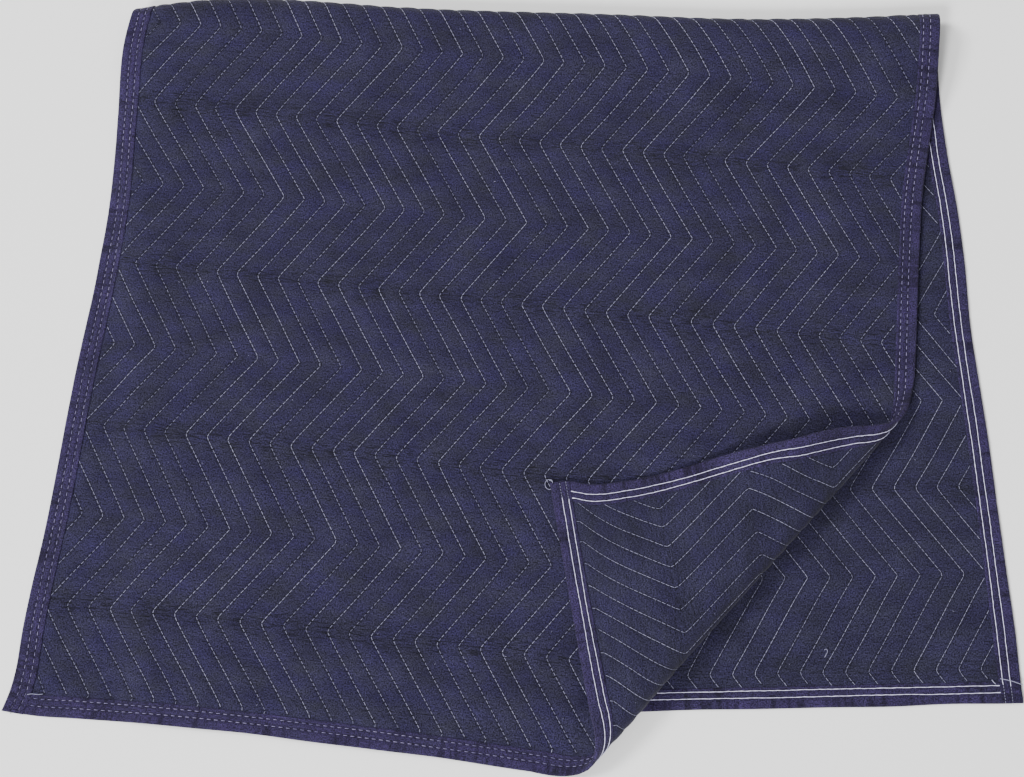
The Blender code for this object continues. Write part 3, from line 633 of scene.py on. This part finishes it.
def thread_tube(name, paths, radii, sides=6):
    """Threads: a ring of points carried along each path of places, no lower than lets it
    lie on the floor.

    A ring stands square to its path, beside the upward direction, and shrinks to a small
    flat cap at both ends of the path.
    """
    points, faces, total = [], [], 0
    turn = 2 * pi * np.arange(sides) / sides
    for row, size in zip(paths, radii):
        row[:, 2] = np.maximum(row[:, 2], size)
        ahead = np.gradient(row, axis=0)
        ahead /= np.linalg.norm(ahead, axis=1, keepdims=True)
        up = np.tile((0.02, 0.01, 1.0), (len(row), 1))
        beside = np.cross(ahead, up)
        beside /= np.linalg.norm(beside, axis=1, keepdims=True)
        above = np.cross(beside, ahead)
        ring = beside[:, None] * np.cos(turn)[:, None] + above[:, None] * np.sin(turn)[:, None]
        size = np.broadcast_to(size, len(row)).copy()
        size[[0, -1]] *= 0.1
        body = (row[:, None] + ring * size[:, None, None]).reshape(-1, 3)
        index = total + np.arange(len(body)).reshape(len(row), sides)
        after = np.roll(index, -1, axis=1)
        quads = np.stack([index[:-1], after[:-1], after[1:], index[1:]], -1).reshape(-1, 4)
        points.append(body)
        faces.append(quads[:, [0, 1, 2]])
        faces.append(quads[:, [0, 2, 3]])
        for cap, turned in ((index[0], 1), (index[-1], -1)):
            fan = np.stack([np.full(sides - 2, cap[0]), cap[1:-1], cap[2:]], -1)
            faces.append(fan[:, ::turned])
        total += len(body)
    points = np.concatenate(points)
    shade = np.random.default_rng(len(points)).uniform(0.0, 1.0, (len(points), 2))
    return make_mesh(name, points, np.concatenate(faces), shade * 0.6)


def bold_seams():
    """The looper thread of both seams on the reverse: two cords of chained loops, which
    start past the lap at one corner and end in a lump at the other."""
    paths, radii = [], []
    spacing = CORD_LOOP / 4
    for along_edge, depth, over_end, under_end, heading, number in each_seam():
        start = over_end + heading * (CORD_START + CORD_LATER * number)
        line = edge_line(*along_edge, depth, start, under_end - heading * 0.0025, spacing)
        along = np.arange(len(line)) * spacing
        lump = np.exp(-(((along[-1] - along - 0.003) / 0.0016) ** 2))
        twist = np.abs(np.sin(pi * along / CORD_LOOP)) + 0.4 * cloud(along / 0.003, along, 77)
        across = 1 - along_edge[0]
        line[:, across] += 0.00022 * cloud(along / 0.005, 0.0 * along, 78 + number)
        flat = np.concatenate([line, np.full((len(line), 1), -BINDING_HALF - 0.0001)], 1)
        paths.append(lay_out(flat))
        radii.append(CORD_RADIUS + CORD_TWIST * twist + CORD_LUMP * lump)
    return thread_tube("bold_seams", paths, radii)


def lap_stitches():
    """The plain stitches that go on from the bold cords to each binding's own end."""
    starts, ends = [], []
    for (axis, edge, inward), depth, over_end, _, heading, number in each_seam():
        back = CORD_START + CORD_LATER * number - LAP_STEP * np.arange(6)
        place = over_end + heading * back
        place = place[(place - over_end) * heading > 0.0015]
        for row, gap in ((starts, 0.0004), (ends, 0.0030)):
            along = place - heading * gap
            across = np.full(len(along), edge + inward * depth)
            row.append(np.stack((across, along) if axis == 1 else (along, across), -1))
    starts, ends = np.concatenate(starts), np.concatenate(ends)
    return stitches("lap_stitches", starts, ends, -1, BINDING_HALF + 0.0003, LAP_RADIUS,
                    np.zeros(len(starts)))


def loose_threads():
    """Thread ends that stick out: a ring at the turned corner's tip, a tail and a stub at
    the back right corner, a curl at the front left corner, and a small loop pulled out of
    one stitch line. Each is its radius and a few flat places that it curves through."""
    tails = (
        (0.00034, ((WIDTH - 0.0010, 0.0030, -0.0020), (WIDTH + 0.0025, 0.0028, -0.001),
                   (WIDTH + 0.0042, -0.0016, 0.002), (WIDTH + 0.0010, -0.0056, 0.003),
                   (WIDTH - 0.0045, -0.0052, 0.003), (WIDTH - 0.0070, -0.0009, 0.003),
                   (WIDTH - 0.0045, 0.0030, 0.001), (WIDTH + 0.0010, 0.0028, -0.001),
                   (WIDTH + 0.0034, -0.0004, 0.001))),
        (0.00045, ((WIDTH - 0.0240, LENGTH - 0.0285, -0.004),
                   (WIDTH - 0.0150, LENGTH - 0.0262, -0.006),
                   (WIDTH - 0.0080, LENGTH - 0.0240, -0.006),
                   (WIDTH - 0.0015, LENGTH - 0.0215, -0.005),
                   (WIDTH + 0.0010, LENGTH - 0.0215, -0.004))),
        (0.00060, ((WIDTH - 0.0330, LENGTH - 0.0275, -0.0035),
                   (WIDTH - 0.0315, LENGTH - 0.0245, -0.005),
                   (WIDTH - 0.0290, LENGTH - 0.0222, -0.0035))),
        (0.00036, ((0.0205, 0.0232, 0.003), (0.0260, 0.0248, 0.0045),
                   (0.0325, 0.0250, 0.004), (0.0385, 0.0262, 0.003))),
        (0.00030, ((0.7768, 1.7660, -0.002), (0.7790, 1.7650, -0.0045),
                   (0.7800, 1.7675, -0.005), (0.7785, 1.7705, -0.004),
                   (0.7765, 1.7740, -0.002))))
    paths = []
    for _, knots in tails:
        knots = np.array(knots)
        place = np.linspace(0, len(knots) - 1, 8 * len(knots))
        spans = np.arange(len(knots))
        row = np.stack([curve(place, np.stack([spans, knots[:, i]], -1)) for i in range(3)], -1)
        paths.append(lay_out(row))
    return thread_tube("loose_threads", paths, [radius for radius, _ in tails])


def lint():
    """Specks of lint: short pale fibres anywhere on the side of the cloth that shows."""
    random = np.random.default_rng(90)
    paths = []
    for _ in range(150):
        u, v = random.uniform(0.03, WIDTH - 0.03), random.uniform(0.03, LENGTH - 0.03)
        turn, length = random.uniform(0, pi), random.uniform(0.0008, 0.0030)
        side = 1.0 if v < 0.95 and across_crease(u, v)[1] < 0 else -1.0
        along = np.linspace(-0.5, 0.5, 5) * length
        bent = random.uniform(-0.3, 0.3) * length * np.cos(pi * along / length)
        line = (u - FIRST_LINE - zigzag(v)) / PITCH
        high = half_thickness(line, u, v) + 0.0003
        row = np.stack([u + along * cos(turn) - bent * sin(turn),
                        v + along * sin(turn) + bent * cos(turn),
                        side * (high + 0 * along)], -1)
        paths.append(lay_out(row))
    return thread_tube("lint", paths, random.uniform(0.00016, 0.00034, 150), 3)


# ---------------------------------------------------------------- materials

def group_sockets(group, inputs, outputs):
    """Gives a node group its inputs and outputs; returns the sockets to read from, and
    those to feed."""
    for name, kind, value in inputs:
        socket = group.interface.new_socket(name=name, in_out="INPUT", socket_type=kind)
        if value is not None:
            socket.default_value = value
    for name, kind in outputs:
        group.interface.new_socket(name=name, in_out="OUTPUT", socket_type=kind)
    tree_in = group.nodes.new("NodeGroupInput")
    tree_out = group.nodes.new("NodeGroupOutput")
    return tree_in.outputs, tree_out.inputs


def add(tree, kind, settings=(), values=(), links=()):
    """A node with its settings, socket values and incoming links."""
    node = tree.nodes.new(kind)
    for name, value in dict(settings).items():
        setattr(node, name, value)
    for name, value in dict(values).items():
        node.inputs[name].default_value = value
    for name, source in dict(links).items():
        tree.links.new(source, node.inputs[name])
    return node


def math(tree, operation, a, b=None, c=None):
    """A Math node's output; a, b and c are numbers or sockets."""
    node = add(tree, "ShaderNodeMath", {"operation": operation})
    for index, value in enumerate((a, b, c)):
        if value is None:
            continue
        if isinstance(value, (int, float)):
            node.inputs[index].default_value = value
        else:
            tree.links.new(value, node.inputs[index])
    return node.outputs[0]


def noise(tree, vector, scale, detail=2.0, roughness=0.5):
    """A Noise texture's value, about 0.5 in the middle."""
    values = {"Scale": scale, "Detail": detail, "Roughness": roughness}
    return add(tree, "ShaderNodeTexNoise", values=values, links={"Vector": vector}).outputs[0]


def between(tree, value, low, high):
    """0 to 1 as a value goes from low to high, eased at both ends."""
    return add(tree, "ShaderNodeMapRange", {"interpolation_type": "SMOOTHSTEP"},
               {"From Min": low, "From Max": high}, {"Value": value}).outputs[0]


def stretched(tree, vector, x, y):
    """The sheet's coordinates with a pattern stretched along u or v."""
    return add(tree, "ShaderNodeMapping", values={"Scale": (x, y, 1.0)},
               links={"Vector": vector}).outputs[0]


def weave_group():
    """Plain weave: a sine wave along u times one along v, brought to 0 to 1."""
    group = bpy.data.node_groups.new("plain_weave", "ShaderNodeTree")
    got, give = group_sockets(
        group, [("Sheet", "NodeSocketVector", None), ("Threads", "NodeSocketFloat", 700.0)],
        [("Height", "NodeSocketFloat")])
    apart = add(group, "ShaderNodeSeparateXYZ", links={"Vector": got["Sheet"]})
    turns = math(group, "MULTIPLY", got["Threads"], 2 * pi)
    waves = [math(group, "SINE", math(group, "MULTIPLY", apart.outputs[i], turns))
             for i in (0, 1)]
    product = math(group, "MULTIPLY", *waves)
    group.links.new(math(group, "MULTIPLY_ADD", product, 0.5, 0.5), give["Height"])
    return group


def wear_and_wrinkle_shade_group():
    """Worn dyed cloth: soft patches, a wandering tone and fine slubs both ways, all
    signed, and a mask of fine wrinkles across the sheet, where the zigzag turns left,
    which the cloth takes for painted shade and for its bump."""
    group = bpy.data.node_groups.new("worn_dye_and_wrinkle_shade", "ShaderNodeTree")
    got, give = group_sockets(
        group, [("Sheet", "NodeSocketVector", None)],
        [("Patches", "NodeSocketFloat"), ("Tone", "NodeSocketFloat"),
         ("Slubs", "NodeSocketFloat"), ("Wrinkles", "NodeSocketFloat")])
    sheet = got["Sheet"]
    patches = noise(group, stretched(group, sheet, 0.8, 1.2), 32.0, 3.0, 0.6)
    tone = noise(group, stretched(group, sheet, 0.6, 1.0), 28.0, 4.0, 0.62)
    across = noise(group, stretched(group, sheet, 0.22, 1.0), 520.0, 2.0, 0.6)
    along = noise(group, stretched(group, sheet, 1.0, 0.35), 560.0, 2.0, 0.6)
    grain = noise(group, stretched(group, sheet, 1.15, 1.0), 620.0, 0.0)
    slubs = math(group, "MULTIPLY_ADD", across, 0.7, math(group, "MULTIPLY", along, 0.5))
    slubs = math(group, "MULTIPLY_ADD", grain, 2.4, slubs)
    v = add(group, "ShaderNodeSeparateXYZ", links={"Vector": sheet}).outputs[1]
    row = math(group, "PINGPONG", math(group, "SUBTRACT", v, FIRST_TURN), HALF_WAVE)
    sway = noise(group, stretched(group, sheet, 1.0, 0.6), 14.0, 2.0)
    row = math(group, "MULTIPLY_ADD", sway, 0.030, math(group, "SUBTRACT", row, 0.015))
    row = math(group, "ABSOLUTE", row)
    lines = noise(group, stretched(group, sheet, 0.085, 1.0), 560.0, 2.0, 0.6)
    wrinkles = math(group, "MULTIPLY", between(group, row, 0.022, 0.004),
                    between(group, lines, 0.53, 0.66))
    group.links.new(wrinkles, give["Wrinkles"])
    group.links.new(math(group, "MULTIPLY_ADD", patches, 2.0, -1.0), give["Patches"])
    group.links.new(math(group, "MULTIPLY_ADD", tone, 2.0, -1.0), give["Tone"])
    slubs = math(group, "MAXIMUM", math(group, "SUBTRACT", slubs, 1.8), -0.7)
    group.links.new(slubs, give["Slubs"])
    return group


def cloth_material(name, weave, wear_and_wrinkle_shade, violet, slate, threads, roughness, hole_shade, wrinkled):
    """Dyed woven cloth: violet and slate navy mixed in patches, darker and lighter in
    streaks and slubs. Painted shade darkens it along its stitch lines and seams, where a
    binding puckers, more at each needle hole by an amount given for each cloth, and along
    its fine wrinkles. Weave, rumples and, by wrinkled, its fine wrinkles are in its bump too."""
    material = bpy.data.materials.new(name)
    material.use_nodes = True
    tree = material.node_tree
    shader = tree.nodes["Principled BSDF"]
    shader.inputs["Roughness"].default_value = roughness
    shader.inputs["Sheen Weight"].default_value = 0.06
    shader.inputs["Sheen Roughness"].default_value = 0.5
    shader.inputs["Specular IOR Level"].default_value = 0.16
    sheet = add(tree, "ShaderNodeUVMap", {"uv_map": "sheet"}).outputs[0]
    worn_and_wrinkle_shade = add(tree, "ShaderNodeGroup", {"node_tree": wear_and_wrinkle_shade}, links={"Sheet": sheet}).outputs
    woven = add(tree, "ShaderNodeGroup", {"node_tree": weave}, {"Threads": threads},
                {"Sheet": sheet}).outputs
    share = math(tree, "MULTIPLY_ADD", worn_and_wrinkle_shade["Patches"], 1.3, 0.5)
    dye = add(tree, "ShaderNodeMix", {"data_type": "RGBA"}, {6: (*violet, 1), 7: (*slate, 1)},
              {0: share}).outputs[2]
    light = math(tree, "MULTIPLY_ADD", worn_and_wrinkle_shade["Tone"], 0.62, 1.0)
    light = math(tree, "MULTIPLY", light, math(tree, "MULTIPLY_ADD", worn_and_wrinkle_shade["Slubs"], 1.25, 1.0))
    light = math(tree, "MULTIPLY", light, math(tree, "MULTIPLY_ADD", woven["Height"], 0.24, 0.88))
    # painted shade: darker along stitch lines, seams and a binding's puckers, and darker still at
    # each needle hole
    painted_shade = add(tree, "ShaderNodeAttribute", {"attribute_name": "painted_shade"}).outputs["Fac"]
    count = add(tree, "ShaderNodeAttribute", {"attribute_name": "stitch_count"})
    turns = math(tree, "MULTIPLY", count.outputs["Fac"], 2 * pi)
    hole = math(tree, "MULTIPLY_ADD", math(tree, "COSINE", turns), hole_shade, 0.46)
    light = math(tree, "MULTIPLY", light,
                 math(tree, "SUBTRACT", 1.0, math(tree, "MULTIPLY", painted_shade, hole)))
    # painted shade along the fine wrinkles, which are also in the bump below
    wrinkles = math(tree, "MULTIPLY", worn_and_wrinkle_shade["Wrinkles"], wrinkled)
    light = math(tree, "MULTIPLY", light, math(tree, "MULTIPLY_ADD", wrinkles, -0.6, 1.0))
    shaded = add(tree, "ShaderNodeVectorMath", {"operation": "SCALE"},
                 links={0: dye, "Scale": light}).outputs[0]
    tree.links.new(shaded, shader.inputs["Base Color"])
    fine = noise(tree, stretched(tree, sheet, 0.35, 1.0), 260.0, 4.0, 0.65)
    rumples = noise(tree, stretched(tree, sheet, 0.4, 1.0), 80.0, 3.0, 0.6)
    height = math(tree, "MULTIPLY_ADD", fine, 0.7, math(tree, "MULTIPLY", rumples, 1.6))
    height = math(tree, "MULTIPLY_ADD", woven["Height"], 0.12, height)
    height = math(tree, "MULTIPLY_ADD", wrinkles, -0.9, height)
    bump = add(tree, "ShaderNodeBump", values={"Strength": 0.75, "Distance": 0.0013},
               links={"Height": height})
    tree.links.new(bump.outputs[0], shader.inputs["Normal"])
    return material


def thread_material(name, dark, light):
    """Thread whose shade changes from stitch to stitch, darker where it is tight."""
    material = bpy.data.materials.new(name)
    material.use_nodes = True
    tree = material.node_tree
    shader = tree.nodes["Principled BSDF"]
    shader.inputs["Roughness"].default_value = 0.7
    shader.inputs["Specular IOR Level"].default_value = 0.3
    sheet = add(tree, "ShaderNodeUVMap", {"uv_map": "sheet"}).outputs[0]
    shade = add(tree, "ShaderNodeSeparateXYZ", links={"Vector": sheet}).outputs
    share = math(tree, "MULTIPLY_ADD", shade[0], 0.45, 0.95)
    share = math(tree, "MULTIPLY_ADD", shade[1], -1.0, share)
    mixed = add(tree, "ShaderNodeMix", {"data_type": "RGBA", "clamp_factor": True},
                {6: (*dark, 1), 7: (*light, 1)}, {0: share}).outputs[2]
    tree.links.new(mixed, shader.inputs["Base Color"])
    return material


# ---------------------------------------------------------------- stage

def make_floor():
    """A wide sheet of pale paper just under the blanket."""
    half, level = 15.0, -0.0004
    floor = bpy.data.objects.new("floor", bpy.data.meshes.new("floor"))
    corners = [(-half, -half, level), (half, -half, level), (half, half, level),
               (-half, half, level)]
    floor.data.from_pydata(corners, [], [(0, 1, 2, 3)])
    bpy.context.scene.collection.objects.link(floor)
    paper = bpy.data.materials.new("floor_paper")
    paper.use_nodes = True
    shader = paper.node_tree.nodes["Principled BSDF"]
    shader.inputs["Base Color"].default_value = (0.96, 0.96, 0.96, 1.0)
    shader.inputs["Roughness"].default_value = 0.8
    floor.data.materials.append(paper)


def make_lights():
    """A weak light overhead, soft boxes to the left and the front left, and a pale room."""
    lamps = (("overhead", (0.0, 0.2, 2.8), 3.0, 30.0),
             ("left_box", (-7.4, 1.3, 8.0), 3.0, 1100.0),
             ("front_box", (-4.2, -6.8, 8.0), 2.4, 1300.0))
    for name, place, width, power in lamps:
        light = bpy.data.lights.new(name, "AREA")
        light.size, light.energy = width, power
        lamp = bpy.data.objects.new(name, light)
        lamp.location = place
        to_middle = Vector() - Vector(place)
        lamp.rotation_euler = to_middle.to_track_quat("-Z", "Y").to_euler()
        bpy.context.scene.collection.objects.link(lamp)
    world = bpy.data.worlds.new("studio")
    world.use_nodes = True
    background = world.node_tree.nodes["Background"]
    background.inputs["Color"].default_value = (1.0, 1.0, 1.0, 1.0)
    background.inputs["Strength"].default_value = 0.36
    bpy.context.scene.world = world


def make_camera():
    """Above the blanket and a little towards its front end, aimed at its middle."""
    tilt, distance, target = radians(12.5), 2.199, Vector((-0.00085, -0.0182, 0.0))
    data = bpy.data.cameras.new("camera")
    data.sensor_width, data.lens = 36.0, 64.48
    camera = bpy.data.objects.new("camera", data)
    camera.location = target + distance * Vector((0.0, -sin(tilt), cos(tilt)))
    camera.rotation_euler = (tilt, 0.0, 0.0)
    bpy.context.scene.collection.objects.link(camera)
    bpy.context.scene.camera = camera


# ---------------------------------------------------------------- putting it together

def main():
    """Makes every piece and says what it rides on, replaces and is made of."""
    make_camera()
    make_floor()
    make_lights()
    weave, wear_and_wrinkle_shade = weave_group(), wear_and_wrinkle_shade_group()
    face_cloth = cloth_material("face_cloth", weave, wear_and_wrinkle_shade, *FACE_DYES, threads=700.0,
                                roughness=0.9, hole_shade=0.30, wrinkled=1.0)
    reverse_cloth = cloth_material("reverse_cloth", weave, wear_and_wrinkle_shade, *REVERSE_DYES,
                                   threads=700.0, roughness=0.9, hole_shade=0.05, wrinkled=0.6)
    binding_cloth = cloth_material("binding_cloth", weave, wear_and_wrinkle_shade, *BINDING_DYES,
                                   threads=900.0, roughness=0.85, hole_shade=0.0, wrinkled=0.0)
    pale_thread = thread_material("pale_thread", *PALE_SHADES)
    seam_thread = thread_material("seam_thread", *SEAM_SHADES)
    looper_thread = thread_material("looper_thread", *LOOPER_SHADES)

    face = quilt_side("quilt_face", 1)
    reverse = quilt_side("quilt_reverse", -1)
    bindings = {node: binding_strip(node + "_cloth", *edge) for node, edge in EDGES.items()}
    threads = [(quilt_stitches("face_stitches", 1, *FACE_STITCH), pale_thread),
               (quilt_stitches("reverse_stitches", -1, *REVERSE_STITCH), pale_thread),
               (lap_stitches(), pale_thread), (seam_dashes(), seam_thread),
               (bold_seams(), looper_thread),
               (loose_threads(), pale_thread), (lint(), pale_thread)]

    for piece, cloth in ((face, face_cloth), (reverse, reverse_cloth)):
        piece.data.materials.append(cloth)
        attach(piece, "root")
        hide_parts("quilted_panel")
    for node, piece in bindings.items():
        piece.data.materials.append(binding_cloth)
        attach(piece, "root")
        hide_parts(node)
    for piece, material in threads:
        piece.data.materials.append(material)
        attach(piece, "root")


main()
